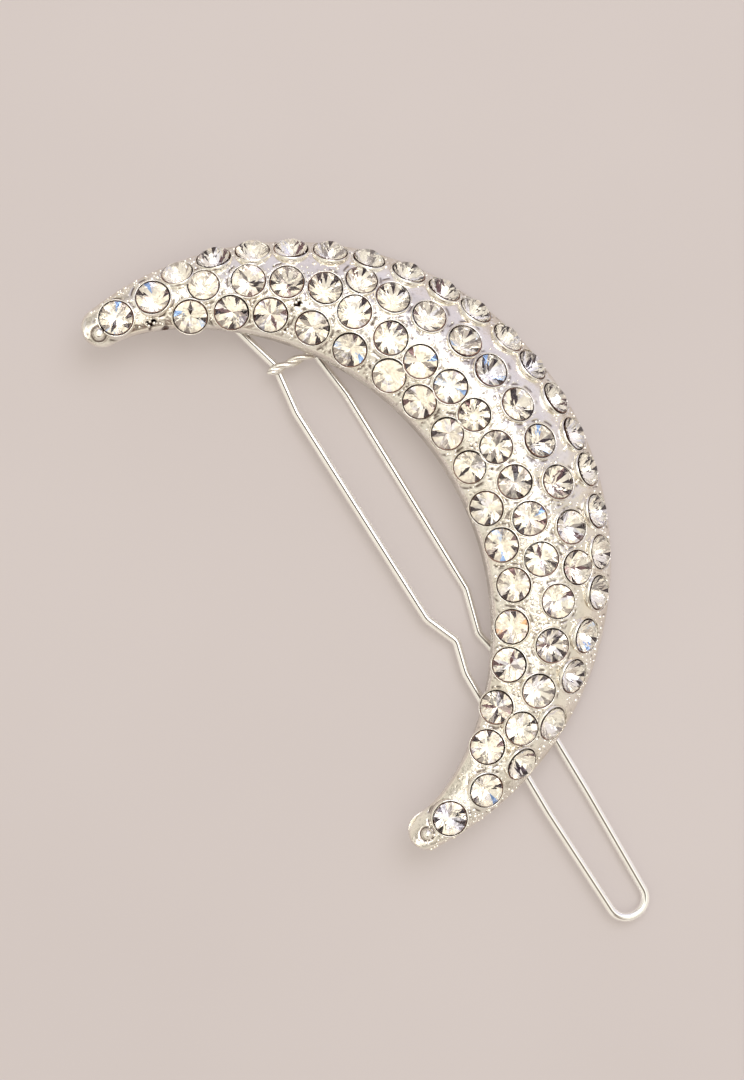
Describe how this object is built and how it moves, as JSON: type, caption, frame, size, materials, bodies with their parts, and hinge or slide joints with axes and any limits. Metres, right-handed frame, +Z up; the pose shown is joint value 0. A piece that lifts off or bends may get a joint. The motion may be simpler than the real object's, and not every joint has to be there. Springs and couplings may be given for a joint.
{
  "type": "rhinestone hair clip",
  "caption": "Crescent-shaped hair clip: a domed silver-tone casting set with round clear stones, with a hinged sprung wire bail that snaps over a catch.",
  "frame": {"origin": "centre of the footprint, on the surface that the clip lies on", "axes": "+Y along the wire bail towards the hinge end, +X towards the belly of the crescent, +Z up through the stones"},
  "size_m": [0.039, 0.0842, 0.0074],
  "materials": {
    "casting": "bright silver-tone plating over a cast surface, grainy between the stones",
    "wire": "polished sprung wire",
    "bar": "rough plated wire with a rope twist",
    "findings": "plated sheet, satin",
    "stone": "clear cut glass with a mirrored back"
  },
  "bodies": {
    "bail": {"wire_bail": "wire"},
    "crescent": {"crescent_casting": "casting", "fulcrum_bar": "bar", "hinge_bracket": "findings", "catch_post": "findings", "second_row_stones": "stone", "outer_stone_01": "stone", "outer_stone_02": "stone", "outer_stone_03": "stone", "outer_stone_04": "stone", "outer_stone_05": "stone", "outer_stone_06": "stone", "outer_stone_07": "stone", "outer_stone_08": "stone", "outer_stone_09": "stone", "outer_stone_10": "stone", "outer_stone_11": "stone", "outer_stone_12": "stone", "outer_stone_13": "stone", "outer_stone_14": "stone", "outer_stone_15": "stone", "outer_stone_16": "stone", "outer_stone_17": "stone", "outer_stone_18": "stone", "outer_stone_19": "stone", "outer_stone_20": "stone", "outer_stone_21": "stone", "third_stone_01": "stone", "third_stone_02": "stone", "third_stone_03": "stone", "third_stone_04": "stone", "third_stone_05": "stone", "third_stone_06": "stone", "third_stone_07": "stone", "third_stone_08": "stone", "third_stone_09": "stone", "third_stone_10": "stone", "third_stone_11": "stone", "third_stone_12": "stone", "third_stone_13": "stone", "inner_stone_01": "stone", "inner_stone_02": "stone", "inner_stone_03": "stone", "inner_stone_04": "stone", "inner_stone_05": "stone", "inner_stone_06": "stone", "inner_stone_07": "stone", "inner_stone_08": "stone", "inner_stone_09": "stone", "inner_stone_10": "stone", "inner_stone_11": "stone", "inner_stone_12": "stone", "inner_stone_13": "stone", "inner_stone_14": "stone", "inner_stone_15": "stone", "inner_stone_16": "stone", "tip_stone_01": "stone", "tip_stone_02": "stone", "tip_stone_03": "stone", "tip_stone_04": "stone"}
  },
  "joints": [
    {"name": "bail_hinge", "type": "hinge", "parent": "bail", "child": "crescent", "pos_m": [-0.00468, 0.03562, 0.00178], "axis": [-0.9864, 0, 0.1644], "range_deg": [0, 40]}
  ]
}
